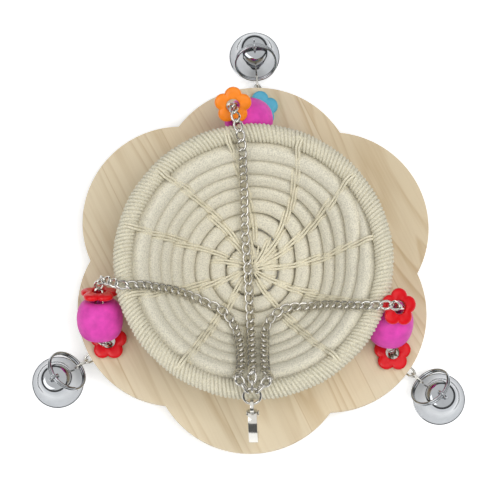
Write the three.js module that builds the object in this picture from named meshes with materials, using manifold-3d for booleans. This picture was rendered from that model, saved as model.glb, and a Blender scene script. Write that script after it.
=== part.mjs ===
// Hanging bird nest: a coiled rope bowl seated in a six-lobed board.
// Three chains carry beads, flowers and bells, and meet in a ring with a clasp.
// Millimetres, +Z up. It lies on a table at z = 0, with its chains laid over the bowl.
import * as THREE from "three";
import { mergeVertices } from "three/addons/utils/BufferGeometryUtils.js";
import Module from "manifold-3d";

const wasm = await Module();
wasm.setup();

// Sizes of the pieces
const CLEAR = 0.3;
const BOARD_TIP_RADIUS = 100;
const LOBE_RADIUS = 52.9;
const LOBE_COUNT = 6;
const BOARD_THICKNESS = 6;
const BOARD_LIFT = 9;
const BOARD_EDGE = 0.8;
const FIRST_LOBE_DEG = 28.4;
const CHAIN_HOLE_RADIUS = 4.4;
const CHAIN_HOLE_INSET = 12.5;

const ROPE_DIAMETER = 9;
const ROPE_GAP = 0.56;
const COIL_TURNS = 8;
const COIL_START_TURN = 0.56;
const COIL_END_DEG = 34;
const COIL_CLIMB_DEG = [0, 0, 10, 22, 36, 51, 56, 52, 49];
const STEPS_PER_TURN = 24;
const ROPE_SIDES = 6;
const BASE_CUT_SHARE = 0.1;
const NEST_SHIFT_Y = -2;
const RIM_DIAMETER = 10.6;
const RIM_GAP = 0.4;
const RIM_CLIMB_DEG = 42;

const CHAIN_DIAMETER = 4.6;
const CHAIN_SIDES = 8;
const TAIL_HEIGHT = 6;
const TAIL_END = 13.8;

const FLOWER_RADIUS = 10;
const PETAL_RADIUS = 4.6;
const PETAL_COUNT = 5;
const FLOWER_THICKNESS = 3.6;
const FLOWER_BORE = 3.6;
const FLOWER_EDGE = 0.8;
const BEAD_RADIUS = 12.2;
const BEAD_HALF_LENGTH = 10.6;
const BEAD_BORE = 4.7;
const BEAD_SIT = 0.7;

const LINK_WIRE = 1.2;
const TAIL_LINK_LENGTH = 9;
const TAIL_LINK_WIDTH = 6;
const END_LINK_LENGTH = 8;
const END_LINK_WIDTH = 5.6;
const LINK_GAP = 0.4;

const RING_MID_RADIUS = 11.2;
const RING_WIRE = 1.2;
const RING_PITCH = 1.6;
const RING_TURNS = 1.95;
const RING_TILT_DEG = 48;
const RING_SEAT = 1;

const BELL_MOUTH_RADIUS = 14;
const BELL_HEIGHT = 19.3;
const BELL_WALL = 1;
const BELL_STEM_HOLE = 1.3;
const EYE_MID_RADIUS = 2.6;
const EYE_WIRE = 1.3;
const STEM_RADIUS = 0.8;
const CLAPPER_EYE_RADIUS = 1.9;
const CLAPPER_WIRE = 1.2;
const CLAPPER_BALL_RADIUS = 3;
const CLAPPER_BALL_HEIGHT = 5.5;

const GATHER_MID_RADIUS = 4.5;
const GATHER_WIRE = 1.4;
const GATHER_OUT = 3.68;
const GATHER_RISE = 7.72;
const CLASP_LENGTH = 26;
const CLASP_HALF_WIDTH = 6;
const CLASP_THICKNESS = 4.6;
const CLASP_EYE_HOLE = 2.5;
const CLASP_EYE_RADIUS = 3.8;
const CLASP_EYE_THICKNESS = 1.8;
const CLASP_EYE_DROP = 1.2;
const CLASP_PIN_RADIUS = 0.8;
const GATE_THICKNESS = 1;
const SPRING_WIRE = 0.4;
const SPRING_TURNS = 1.4;

// Heights that follow from the sizes
const DEG = Math.PI / 180;
const ROPE_RADIUS = ROPE_DIAMETER / 2;
const ROPE_PITCH = ROPE_DIAMETER + ROPE_GAP;
const BASE_CENTRE_Z = ROPE_RADIUS - BASE_CUT_SHARE * ROPE_DIAMETER;
const RIM_RADIUS = RIM_DIAMETER / 2;
const CHAIN_RADIUS = CHAIN_DIAMETER / 2;
const BOARD_TOP = BOARD_LIFT + BOARD_THICKNESS;
const FLOWER_Z = BOARD_TOP + CLEAR + FLOWER_THICKNESS / 2;
const BEAD_Z = BOARD_TOP + 2 * CLEAR + FLOWER_THICKNESS + BEAD_RADIUS + BEAD_SIT;
const LOBE_CENTRE = BOARD_TIP_RADIUS - LOBE_RADIUS;
const HOLE_PLACE = BOARD_TIP_RADIUS - CHAIN_HOLE_INSET;

const group = new THREE.Group();
const v3 = (x, y, z) => new THREE.Vector3(x, y, z);

// A direction from its heading in plan and its rise above the horizontal, both in degrees.
function aim(heading, rise) {
  const flat = Math.cos(rise * DEG);
  return v3(flat * Math.cos(heading * DEG), flat * Math.sin(heading * DEG), Math.sin(rise * DEG));
}

function material(color, roughness, metalness) {
  return new THREE.MeshStandardMaterial({ color, roughness, metalness });
}

const PINE = material(0xcfbf9f, 0.7, 0);
const ROPE = material(0xd2cbba, 0.95, 0);
const NICKEL = material(0xc4c6c8, 0.25, 1);
const CHROME = material(0xe2e4e6, 0.1, 1);
const RED = material(0xc81e2d, 0.4, 0);
const BLUE = material(0x5eb8d3, 0.4, 0);
const ORANGE = material(0xff9a36, 0.4, 0);
const MAGENTA = material(0xdd45aa, 0.4, 0);

function addMesh(name, geometry, surface) {
  const mesh = new THREE.Mesh(geometry, surface);
  mesh.name = name;
  group.add(mesh);
}

// Solids for the booleans
function solidOf(geometry) {
  const bare = geometry.clone();
  bare.deleteAttribute("normal");
  bare.deleteAttribute("uv");
  const merged = mergeVertices(bare, 1e-4);
  const vertProperties = new Float32Array(merged.attributes.position.array);
  const triVerts = new Uint32Array(merged.index.array);
  return new wasm.Manifold(new wasm.Mesh({ numProp: 3, vertProperties, triVerts }));
}

function geometryOf(solid) {
  const made = solid.getMesh();
  const geometry = new THREE.BufferGeometry();
  geometry.setAttribute("position", new THREE.BufferAttribute(new Float32Array(made.vertProperties), 3));
  geometry.setIndex(new THREE.BufferAttribute(new Uint32Array(made.triVerts), 1));
  geometry.computeVertexNormals();
  return geometry;
}

function joined(...geometries) {
  return geometryOf(geometries.map(solidOf).reduce((all, one) => all.add(one)));
}

function cut(geometry, ...tools) {
  return geometryOf(tools.map(solidOf).reduce((left, tool) => left.subtract(tool), solidOf(geometry)));
}

// A tube through points; `side` gives the first direction of its section at each point.
function tube(points, radius, sides, side, closed) {
  const corners = [];
  const faces = [];
  const last = points.length - 1;
  points.forEach((point, i) => {
    const before = closed ? points[(i + last) % points.length] : points[Math.max(i - 1, 0)];
    const after = closed ? points[(i + 1) % points.length] : points[Math.min(i + 1, last)];
    const along = after.clone().sub(before).normalize();
    const across = side(point, i).clone();
    across.addScaledVector(along, -across.dot(along)).normalize();
    const up = along.clone().cross(across);
    for (let k = 0; k < sides; k++) {
      const turn = ((k + 0.5) * 2 * Math.PI) / sides;
      const corner = point.clone().addScaledVector(across, radius * Math.cos(turn));
      corner.addScaledVector(up, radius * Math.sin(turn));
      corners.push(corner.x, corner.y, corner.z);
    }
  });
  const rings = closed ? points.length : last;
  for (let i = 0; i < rings; i++) {
    const a = i * sides;
    const b = ((i + 1) % points.length) * sides;
    for (let k = 0; k < sides; k++) {
      const next = (k + 1) % sides;
      faces.push(a + k, a + next, b + next, a + k, b + next, b + k);
    }
  }
  if (!closed) {
    const end = last * sides;
    for (let k = 1; k < sides - 1; k++) {
      faces.push(0, k + 1, k);
      faces.push(end, end + k, end + k + 1);
    }
  }
  const geometry = new THREE.BufferGeometry();
  geometry.setAttribute("position", new THREE.Float32BufferAttribute(corners, 3));
  geometry.setIndex(faces);
  return geometry;
}

// The frame that carries a piece's own +X, +Y and +Z to three world directions at a place.
function placed(geometry, x, y, z, place) {
  return geometry.applyMatrix4(new THREE.Matrix4().makeBasis(x, y, z).setPosition(place));
}

// Turns a piece's own +Z to a direction.
function turned(geometry, axis, place) {
  const quaternion = new THREE.Quaternion().setFromUnitVectors(v3(0, 0, 1), axis);
  return geometry.applyQuaternion(quaternion).translate(place.x, place.y, place.z);
}

// A chain link: two straight strands and two half rounds in its own XY plane, long along X.
function linkGeometry(length, width) {
  const bend = (width - LINK_WIRE) / 2;
  const straight = (length - width) / 2;
  const points = [];
  for (let i = 0; i < 12; i++) {
    const turn = ((i + 0.5) * Math.PI) / 6;
    const shift = Math.cos(turn) > 0 ? straight : -straight;
    points.push(v3(shift + bend * Math.cos(turn), bend * Math.sin(turn), 0));
  }
  return tube(points, LINK_WIRE / 2, 6, () => v3(0, 0, 1), true);
}

function torus(radius, wire, steps) {
  return new THREE.TorusGeometry(radius, wire / 2, 5, steps);
}

// Bowl: one rope in a spiral whose turns climb by the angles above, then a whipped rim.
function profileAt(turn) {
  let r = ROPE_PITCH / 2;
  let z = 0;
  if (turn <= 0.5) return { r: turn * ROPE_PITCH, z };
  for (let k = 1; k < COIL_CLIMB_DEG.length; k++) {
    const part = Math.min(turn - (k - 0.5), 1);
    if (part <= 0) break;
    r += part * ROPE_PITCH * Math.cos(COIL_CLIMB_DEG[k] * DEG);
    z += part * ROPE_PITCH * Math.sin(COIL_CLIMB_DEG[k] * DEG);
  }
  return { r, z };
}

const coilPoints = [];
const coilSteps = Math.round((COIL_TURNS - COIL_START_TURN) * STEPS_PER_TURN);
for (let i = 0; i <= coilSteps; i++) {
  const turn = COIL_START_TURN + ((COIL_TURNS - COIL_START_TURN) * i) / coilSteps;
  const angle = COIL_END_DEG * DEG + (turn - COIL_TURNS) * 2 * Math.PI;
  const { r, z } = profileAt(turn);
  coilPoints.push(v3(r * Math.cos(angle), r * Math.sin(angle) + NEST_SHIFT_Y, BASE_CENTRE_Z + z));
}

let leastGap = Infinity;
coilPoints.forEach((a, i) => {
  coilPoints.forEach((b, j) => {
    if (j - i > STEPS_PER_TURN / 2) leastGap = Math.min(leastGap, a.distanceTo(b) - ROPE_DIAMETER);
  });
});
console.log(`least gap between the bowl's turns ${leastGap.toFixed(2)} mm`);

const coilTube = tube(coilPoints, ROPE_RADIUS, ROPE_SIDES, (p) => v3(p.x, p.y - NEST_SHIFT_Y, 0), false);
const tableWidth = 2 * BOARD_TIP_RADIUS;
const tableBlock = new THREE.BoxGeometry(tableWidth, tableWidth, 2 * ROPE_DIAMETER);
addMesh("nest_coil", cut(coilTube, tableBlock.translate(0, 0, -ROPE_DIAMETER)), ROPE);

const coilEnd = profileAt(COIL_TURNS);
const rimStep = ROPE_RADIUS + RIM_GAP + RIM_RADIUS;
const RIM_CORE_RADIUS = coilEnd.r + rimStep * Math.cos(RIM_CLIMB_DEG * DEG);
const RIM_CORE_Z = BASE_CENTRE_Z + coilEnd.z + rimStep * Math.sin(RIM_CLIMB_DEG * DEG);
console.log(`rim core radius ${RIM_CORE_RADIUS.toFixed(2)} at height ${RIM_CORE_Z.toFixed(2)}`);
const rimTorus = new THREE.TorusGeometry(RIM_CORE_RADIUS, RIM_RADIUS, 8, 48);
addMesh("nest_rim", rimTorus.translate(0, NEST_SHIFT_Y, RIM_CORE_Z), ROPE);

// Board: six arcs, the hole that the bowl wedges in, and three chain holes.
function slabReach(point) {
  const over = Math.max(point.z - BOARD_TOP, BOARD_LIFT - point.z, 0);
  if (over >= ROPE_RADIUS) return 0;
  const r = Math.hypot(point.x, point.y - NEST_SHIFT_Y);
  return r + Math.sqrt(ROPE_RADIUS ** 2 - over ** 2);
}
const NEST_HOLE_RADIUS = Math.max(...coilPoints.map(slabReach)) + CLEAR;
console.log(`nest hole radius ${NEST_HOLE_RADIUS.toFixed(2)}`);

// The outline of round lobes that meet at notches, `count` of them on a circle.
function lobedShape(centre, radius, count, first, segments) {
  const halfStep = Math.PI / count;
  const notch = centre * Math.cos(halfStep) + Math.sqrt(radius ** 2 - (centre * Math.sin(halfStep)) ** 2);
  const sweep = Math.atan2(notch * Math.sin(halfStep), notch * Math.cos(halfStep) - centre);
  const points = [];
  for (let lobe = 0; lobe < count; lobe++) {
    const heading = first + lobe * 2 * halfStep;
    for (let i = 0; i < segments; i++) {
      const turn = heading - sweep + (2 * sweep * i) / segments;
      const x = centre * Math.cos(heading) + radius * Math.cos(turn);
      points.push(new THREE.Vector2(x, centre * Math.sin(heading) + radius * Math.sin(turn)));
    }
  }
  return new THREE.Shape(points);
}

function roundHole(x, y, radius, segments) {
  const points = [];
  for (let i = 0; i < segments; i++) {
    const turn = (-i * 2 * Math.PI) / segments;
    points.push(new THREE.Vector2(x + radius * Math.cos(turn), y + radius * Math.sin(turn)));
  }
  return new THREE.Path(points);
}

function plate(shape, thickness, edge) {
  const bevel = { bevelThickness: edge, bevelSize: edge, bevelOffset: -edge, bevelSegments: 1 };
  return new THREE.ExtrudeGeometry(shape, { depth: thickness - 2 * edge, ...bevel }).translate(0, 0, edge);
}

// The three corners: lobe number, turn of the tail from the lobe's heading, and the chain's pieces.
// The chain's points run from the board hole over the bowl to the gather ring.
const CORNERS = [
  {
    name: "left",
    lobe: 3,
    tailTurn: 7.4,
    linkTurn: 125,
    lower: RED,
    upper: RED,
    bead: { place: [-80.6, -31.8], heading: 91, rise: 30 },
    flower: { place: [-80.8, -19.2, 38.7], heading: 91, rise: 30 },
    rise: [
      [-77.1, -42.2, 19.2],
      [-78.4, -44.2, 22.6],
      [-80.2, -42.4, 25.4],
    ],
    route: [
      [-80.9, -14.6, 42.2],
      [-79.2, -13.2, 46.6],
      [-75, -14.4, 51.4],
      [-69.8, -17, 55.6],
      [-64.5, -17.7, 56.2],
      [-59.5, -16.9, 53],
      [-55.2, -16.2, 48.2],
      [-50.7, -16.4, 43.4],
      [-44.3, -16, 35.2],
      [-37.6, -16.4, 26.3],
      [-30.6, -17.9, 19.5],
      [-23.7, -20.5, 16],
      [-16.4, -23.4, 14.4],
      [-12, -28.6, 15.8],
      [-9, -33.9, 18.6],
      [-7, -41.7, 26.6],
      [-6, -50.8, 39],
      [-5.8, -57, 46.4],
      [-6.2, -61.5, 52],
    ],
  },
  {
    name: "right",
    lobe: 5,
    tailTurn: -9.2,
    linkTurn: 50,
    lower: RED,
    upper: RED,
    bead: { place: [72.3, -32.6], heading: 80, rise: 45 },
    flower: { place: [75.5, -26.5, 50.6], heading: -18, rise: 65 },
    rise: [
      [74.3, -45.2, 19.2],
      [73.2, -42.6, 21.8],
    ],
    route: [
      [74.7, -24, 41.4],
      [75, -24.6, 45.6],
      [75.6, -26.5, 50.6],
      [76.2, -26.8, 54.6],
      [74.6, -26.8, 58],
      [70, -26.7, 59.2],
      [65.5, -26.7, 58.2],
      [61.5, -26.6, 56.2],
      [56.5, -26.3, 53],
      [50.5, -25.5, 46.8],
      [44.6, -24.2, 39.8],
      [39.1, -22.8, 32.3],
      [28.8, -22.1, 19.9],
      [18.7, -21.6, 14.4],
      [13.4, -24, 14],
      [8.6, -29, 15.2],
      [6.7, -34.6, 18.6],
      [6.4, -42.2, 27],
      [6.5, -51.9, 40.4],
      [6.9, -57.6, 47],
      [7.4, -62.4, 52.2],
    ],
  },
  {
    name: "back",
    lobe: 1,
    tailTurn: 7.4,
    linkTurn: 90,
    lower: BLUE,
    upper: ORANGE,
    bead: { place: [-3.5, 77.2], heading: 190, rise: 40 },
    flower: { place: [-11.8, 80.6, 50], heading: 275, rise: 60 },
    rise: [
      [2.5, 87, 19],
      [4.4, 83.8, 21.6],
      [5.6, 80.6, 23.6],
    ],
    route: [
      [-13.4, 77.6, 40.6],
      [-12.6, 81.6, 44.6],
      [-11.8, 80.6, 50],
      [-11.4, 78, 54],
      [-10.2, 73.4, 56],
      [-9.2, 69, 56.6],
      [-7.6, 63.4, 56],
      [-6.7, 58.6, 53],
      [-6.3, 50, 43],
      [-5.7, 39.5, 28.8],
      [-5, 20.8, 13.2],
      [-3.1, -0.9, 11.2],
      [-1.8, -22, 12.6],
      [-1, -34.6, 18.4],
      [-0.4, -44, 30],
      [0, -53.8, 42.6],
      [0.2, -59, 48.8],
    ],
  },
];

// The corners are drawn for a rim, a bead and chain holes at these places.
// Other sizes carry their points along.
const DRAWN = { rim: 68.32, rimZ: 47.78, beadZ: 32.1, hole: 87.5 };
const rimShare = RIM_CORE_RADIUS / DRAWN.rim;
const heightShare = RIM_CORE_Z / DRAWN.rimZ;

// How far outside the rim's core a round piece has to be to clear the rim at its height.
function reachPast(radius, rimZ, z) {
  return Math.sqrt(Math.max((RIM_RADIUS + radius + CLEAR) ** 2 - (rimZ - z) ** 2, 0));
}

// How far a corner's bead and upper flower move from where they are drawn.
function cornerShift(corner) {
  const lift = BEAD_Z - DRAWN.beadZ;
  const flowerZ = corner.flower.place[2];
  const bead = reachPast(BEAD_RADIUS, RIM_CORE_Z, BEAD_Z) - reachPast(BEAD_RADIUS, DRAWN.rimZ, DRAWN.beadZ);
  const flowerReach = reachPast(FLOWER_RADIUS, RIM_CORE_Z, flowerZ + lift);
  const flower = flowerReach - reachPast(FLOWER_RADIUS, DRAWN.rimZ, flowerZ);
  const away = RIM_CORE_RADIUS - DRAWN.rim + Math.max(bead, flower, 0);
  const [x, y] = corner.bead.place;
  return v3(x, y - NEST_SHIFT_Y, 0).setLength(away).setZ(lift);
}

// A flower that leans over the rim rises with it; one beside the bead keeps to the bead.
function flowerLift(corner) {
  const lift = BEAD_Z - DRAWN.beadZ;
  return corner.flower.place[2] > DRAWN.rimZ ? Math.max(RIM_CORE_Z - DRAWN.rimZ, lift) : lift;
}

// A chain point goes with the bead or flower beside it, and with the bowl over and inside the rim.
function carried(corner, [x, y, z]) {
  const beadOut = Math.hypot(corner.bead.place[0], corner.bead.place[1] - NEST_SHIFT_Y);
  const out = Math.hypot(x, y - NEST_SHIFT_Y);
  const inward = Math.min(Math.max((beadOut - out) / (beadOut - DRAWN.rim), 0), 1);
  const slack = CHAIN_DIAMETER * Math.max(1 - heightShare, 0);
  const bowlPlace = v3(x * rimShare, (y - NEST_SHIFT_Y) * rimShare, z * heightShare + slack);
  bowlPlace.y += NEST_SHIFT_Y;
  const climb = (z - DRAWN.beadZ) / (corner.flower.place[2] - DRAWN.beadZ);
  const lift = THREE.MathUtils.lerp(corner.shift.z, flowerLift(corner), Math.min(Math.max(climb, 0), 1));
  return v3(x, y, z).add(corner.shift).setZ(z + lift).lerp(bowlPlace, inward);
}

const boardShape = lobedShape(LOBE_CENTRE, LOBE_RADIUS, LOBE_COUNT, FIRST_LOBE_DEG * DEG, 8);
boardShape.holes.push(roundHole(0, NEST_SHIFT_Y, NEST_HOLE_RADIUS, 40));
for (const corner of CORNERS) {
  corner.heading = FIRST_LOBE_DEG + (corner.lobe * 360) / LOBE_COUNT;
  corner.hole = aim(corner.heading, 0).multiplyScalar(HOLE_PLACE);
  corner.out = aim(corner.heading + corner.tailTurn, 0);
  corner.across = v3(-corner.out.y, corner.out.x, 0);
  corner.shift = cornerShift(corner);
  boardShape.holes.push(roundHole(corner.hole.x, corner.hole.y, CHAIN_HOLE_RADIUS, 12));
}
addMesh("flower_board", plate(boardShape, BOARD_THICKNESS, BOARD_EDGE).translate(0, 0, BOARD_LIFT), PINE);

// Flowers and beads
const petalCentre = FLOWER_RADIUS - PETAL_RADIUS;
function flowerGeometry() {
  const shape = lobedShape(petalCentre, PETAL_RADIUS, PETAL_COUNT, Math.PI / 2, 4);
  shape.holes.push(roundHole(0, 0, FLOWER_BORE, 10));
  return plate(shape, FLOWER_THICKNESS, FLOWER_EDGE).translate(0, 0, -FLOWER_THICKNESS / 2);
}

function beadGeometry() {
  const points = [];
  const rounds = 8;
  for (let i = 0; i <= rounds; i++) {
    const turn = -Math.PI / 2 + (Math.PI * i) / rounds;
    const belly = BEAD_BORE + 0.8 + (BEAD_RADIUS - BEAD_BORE - 0.8) * Math.cos(turn) ** 0.8;
    points.push(new THREE.Vector2(belly, BEAD_HALF_LENGTH * Math.sin(turn)));
  }
  points.push(new THREE.Vector2(BEAD_BORE, BEAD_HALF_LENGTH - 0.4));
  points.push(new THREE.Vector2(BEAD_BORE, 0.4 - BEAD_HALF_LENGTH));
  points.push(points[0].clone());
  return new THREE.LatheGeometry(points, 16).rotateX(Math.PI / 2);
}

// Gather ring: its plane leans to the front, its second direction points back and up.
const GATHER_PLACE = v3(CLEAR, NEST_SHIFT_Y - RIM_CORE_RADIUS - GATHER_OUT, RIM_CORE_Z + GATHER_RISE);
const gatherNormal = v3(0, -0.6, 0.8);
const gatherBack = v3(0, 0.8, 0.6);
const gatherSide = v3(1, 0, 0);
const gatherTorus = torus(GATHER_MID_RADIUS, GATHER_WIRE, 18);
addMesh("gather_ring", placed(gatherTorus, gatherSide, gatherBack, gatherNormal, GATHER_PLACE), NICKEL);

function gatherDirection(turn) {
  const back = gatherBack.clone().multiplyScalar(Math.sin(turn * DEG));
  return gatherSide.clone().multiplyScalar(Math.cos(turn * DEG)).add(back);
}

const endLinkCentre = GATHER_MID_RADIUS - GATHER_WIRE / 2 - LINK_GAP + END_LINK_LENGTH / 2 - LINK_WIRE;
const endLinkTip = endLinkCentre + END_LINK_LENGTH / 2;

// A chain's course: the steps follow the chosen points instead of the length between them.
class ChosenRoute extends THREE.CatmullRomCurve3 {
  getPointAt(u, target) {
    return this.getPoint(u, target);
  }
  getTangentAt(u, target) {
    return this.getTangent(u, target);
  }
}

function chainGeometry(points) {
  const section = [];
  for (let k = 0; k < CHAIN_SIDES; k++) {
    const turn = (k * 2 * Math.PI) / CHAIN_SIDES;
    section.push(new THREE.Vector2(CHAIN_RADIUS * Math.cos(turn), CHAIN_RADIUS * Math.sin(turn)));
  }
  const extrudePath = new ChosenRoute(points, false, "centripetal");
  const steps = Math.round((points.length - 1) * 1.3);
  return new THREE.ExtrudeGeometry(new THREE.Shape(section), { steps, extrudePath, bevelEnabled: false });
}

// Split ring: nearly two turns of wire, low side at its own -X.
function splitRingGeometry() {
  const points = [];
  const steps = Math.round(RING_TURNS * 14);
  for (let i = 0; i <= steps; i++) {
    const turn = Math.PI / 2 + (i / steps) * RING_TURNS * 2 * Math.PI;
    const height = RING_PITCH * (i / steps - 0.5) * RING_TURNS;
    points.push(v3(RING_MID_RADIUS * Math.cos(turn), RING_MID_RADIUS * Math.sin(turn), height));
  }
  return tube(points, RING_WIRE / 2, 6, () => v3(0, 0, 1), false);
}

// Bell: a closed wall profile round a stem hole in the crown.
function bellGeometry() {
  const outer = [
    [1, 0],
    [0.955, 0.05],
    [0.84, 0.22],
    [0.74, 0.42],
    [0.66, 0.66],
    [0.6, 0.82],
    [0.5, 0.94],
    [0.34, 1],
  ].map(([r, z]) => new THREE.Vector2(r * BELL_MOUTH_RADIUS, z * BELL_HEIGHT));
  const inner = [
    [0.34, 1],
    [0.6, 0.82],
    [0.66, 0.66],
    [0.74, 0.42],
    [0.84, 0.22],
  ].map(([r, z]) => {
    const height = Math.min(z * BELL_HEIGHT, BELL_HEIGHT - BELL_WALL);
    return new THREE.Vector2(r * BELL_MOUTH_RADIUS - BELL_WALL, height);
  });
  const crown = [
    new THREE.Vector2(BELL_STEM_HOLE, BELL_HEIGHT),
    new THREE.Vector2(BELL_STEM_HOLE, BELL_HEIGHT - BELL_WALL),
  ];
  const lip = [new THREE.Vector2(BELL_MOUTH_RADIUS - BELL_WALL, 0), new THREE.Vector2(BELL_MOUTH_RADIUS, 0)];
  return new THREE.LatheGeometry([...outer, ...crown, ...inner, ...lip], 18).rotateX(Math.PI / 2);
}

const ringTilt = RING_TILT_DEG * DEG;
const strandReach = (RING_PITCH / 2) * Math.sin(ringTilt) + RING_WIRE / 2;
const linkCentre = TAIL_END + CLEAR + TAIL_LINK_LENGTH / 2;
const ringLowU = TAIL_END + CLEAR + TAIL_LINK_LENGTH - LINK_WIRE - RING_SEAT - strandReach;
const ringCentreU = ringLowU + RING_MID_RADIUS * Math.cos(ringTilt);
const ringCentreZ = TAIL_HEIGHT + RING_MID_RADIUS * Math.sin(ringTilt);
const bellU = ringLowU + 2 * RING_MID_RADIUS * Math.cos(ringTilt);
const ringHighZ = TAIL_HEIGHT + 2 * RING_MID_RADIUS * Math.sin(ringTilt);
const eyeZ = Math.max(ringHighZ + CLEAR, BELL_HEIGHT + CLEAR + EYE_MID_RADIUS + EYE_WIRE / 2);
const lowerEyeZ = BELL_HEIGHT - BELL_WALL - CLEAR - CLAPPER_EYE_RADIUS - CLAPPER_WIRE / 2;
const clapperEyeZ = lowerEyeZ - 2 * CLAPPER_EYE_RADIUS + CLAPPER_WIRE + CLEAR;

function stem(radius, low, high) {
  const rod = new THREE.CylinderGeometry(radius, radius, high - low, 8);
  return rod.rotateX(Math.PI / 2).translate(0, 0, (low + high) / 2);
}

// The chain's tail as shares of its reach from the hole and of its drop under the board.
const TAIL_SHARES = [
  [1, 0],
  [0.65, 0],
  [0.38, 0],
  [0.16, 0.12],
  [0.03, 0.44],
];

for (const corner of CORNERS) {
  const { name, hole, out, across, shift } = corner;
  const up = v3(0, 0, 1);
  const at = (u, z) => hole.clone().addScaledVector(out, u).setZ(z);

  const beadAxis = aim(corner.bead.heading, corner.bead.rise);
  const beadPlace = v3(...corner.bead.place, DRAWN.beadZ).add(shift);
  const flowerAxis = aim(corner.flower.heading, corner.flower.rise);
  const flowerPlace = v3(...corner.flower.place).add(shift);
  flowerPlace.z += flowerLift(corner) - shift.z;
  addMesh(`${name}_lower_flower`, turned(flowerGeometry(), up, hole.clone().setZ(FLOWER_Z)), corner.lower);
  addMesh(`${name}_bead`, turned(beadGeometry(), beadAxis, beadPlace), MAGENTA);
  addMesh(`${name}_upper_flower`, turned(flowerGeometry(), flowerAxis, flowerPlace), corner.upper);

  const linkWay = gatherDirection(corner.linkTurn);
  const linkPlace = GATHER_PLACE.clone().addScaledVector(linkWay, endLinkCentre);
  const endLink = linkGeometry(END_LINK_LENGTH, END_LINK_WIDTH);
  placed(endLink, linkWay, gatherNormal, linkWay.clone().cross(gatherNormal), linkPlace);
  addMesh(`${name}_end_link`, endLink, NICKEL);

  const chainEnd = GATHER_PLACE.clone().addScaledVector(linkWay, endLinkTip + LINK_GAP);
  const bore = BEAD_HALF_LENGTH * 0.8;
  const holeShift = aim(corner.heading, 0).multiplyScalar(HOLE_PLACE - DRAWN.hole).setZ(shift.z);
  const rise = corner.rise.map((p, i) => {
    const share = i / (corner.rise.length - 1);
    return v3(...p).add(holeShift.clone().lerp(shift, share));
  });
  const points = [
    ...TAIL_SHARES.map(([u, z]) => at(u * TAIL_END, TAIL_HEIGHT + z * (BOARD_TOP - TAIL_HEIGHT))),
    hole.clone().setZ(BOARD_TOP),
    ...rise,
    beadPlace.clone().addScaledVector(beadAxis, -bore),
    beadPlace.clone().addScaledVector(beadAxis, bore),
    ...corner.route.map((p) => carried(corner, p)),
    chainEnd.clone().addScaledVector(linkWay, 3),
    chainEnd,
  ];
  addMesh(`${name}_chain`, chainGeometry(points), NICKEL);

  const tailLink = linkGeometry(TAIL_LINK_LENGTH, TAIL_LINK_WIDTH);
  placed(tailLink, out, up, out.clone().cross(up), at(linkCentre, TAIL_HEIGHT));
  addMesh(`${name}_tail_link`, tailLink, NICKEL);

  const ringX = out.clone().multiplyScalar(Math.cos(ringTilt)).setZ(Math.sin(ringTilt));
  const ringZ = ringX.clone().cross(across);
  const splitRing = placed(splitRingGeometry(), ringX, across, ringZ, at(ringCentreU, ringCentreZ));
  addMesh(`${name}_split_ring`, splitRing, CHROME);

  const bellPlace = at(bellU, 0);
  addMesh(`${name}_bell_shell`, placed(bellGeometry(), out, across, up, bellPlace), CHROME);
  const topEye = torus(EYE_MID_RADIUS, EYE_WIRE, 12).rotateX(Math.PI / 2).translate(0, 0, eyeZ);
  const lowerEye = torus(CLAPPER_EYE_RADIUS, CLAPPER_WIRE, 10).rotateX(Math.PI / 2).translate(0, 0, lowerEyeZ);
  const loopStem = stem(STEM_RADIUS, lowerEyeZ + CLAPPER_EYE_RADIUS, eyeZ - EYE_MID_RADIUS);
  addMesh(`${name}_bell_loop`, placed(joined(topEye, lowerEye, loopStem), out, across, up, bellPlace), CHROME);

  const clapperTorus = torus(CLAPPER_EYE_RADIUS, CLAPPER_WIRE, 10);
  const clapperEye = clapperTorus.rotateY(Math.PI / 2).translate(0, 0, clapperEyeZ);
  const clapperStem = stem(CLAPPER_WIRE / 2, CLAPPER_BALL_HEIGHT, clapperEyeZ - CLAPPER_EYE_RADIUS);
  const ball = new THREE.SphereGeometry(CLAPPER_BALL_RADIUS, 10, 6).translate(0, 0, CLAPPER_BALL_HEIGHT);
  const clapper = joined(clapperEye, clapperStem, ball);
  addMesh(`${name}_bell_clapper`, placed(clapper, out, across, up, bellPlace), NICKEL);
}

// Clasp: its own +X runs down its length from the eye, +Y to the gate's side, +Z across its thickness.
const claspAlong = aim(-86, -52);
const claspEyePlace = GATHER_PLACE.clone().addScaledVector(gatherBack, -GATHER_MID_RADIUS - CLASP_EYE_DROP);
const claspFlat = v3(1, 0, 0).addScaledVector(claspAlong, -claspAlong.x).normalize();
const claspGateSide = claspFlat.clone().cross(claspAlong).normalize();
const placeClasp = (geometry) => placed(geometry, claspAlong, claspGateSide, claspFlat, claspEyePlace);

const bodyStart = CLASP_EYE_RADIUS + 0.4;
const bodyMiddle = (bodyStart + CLASP_LENGTH) / 2;
const bodyHalf = (CLASP_LENGTH - bodyStart) / 2;
const pinX = bodyStart + 4.4;
const pinY = CLASP_HALF_WIDTH * 0.5;
const openHalf = bodyHalf - 4.2;
const openMiddle = bodyMiddle + 1.4;
const openLow = -CLASP_HALF_WIDTH * 0.55;
const gateInner = CLASP_HALF_WIDTH * 0.38;
const gateEnd = openMiddle + openHalf - 0.6;
const slotHalf = CLASP_THICKNESS * 0.34;

function slab(points, thickness) {
  const shape = new THREE.Shape(points.map(([x, y]) => new THREE.Vector2(x, y)));
  const flat = new THREE.ExtrudeGeometry(shape, { depth: thickness, bevelEnabled: false });
  return flat.translate(0, 0, -thickness / 2);
}

function ellipsePoints(x, halfX, halfY, count) {
  const points = [];
  for (let i = 0; i < count; i++) {
    const turn = (i * 2 * Math.PI) / count;
    points.push([x + halfX * Math.cos(turn), halfY * Math.sin(turn)]);
  }
  return points;
}

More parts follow.
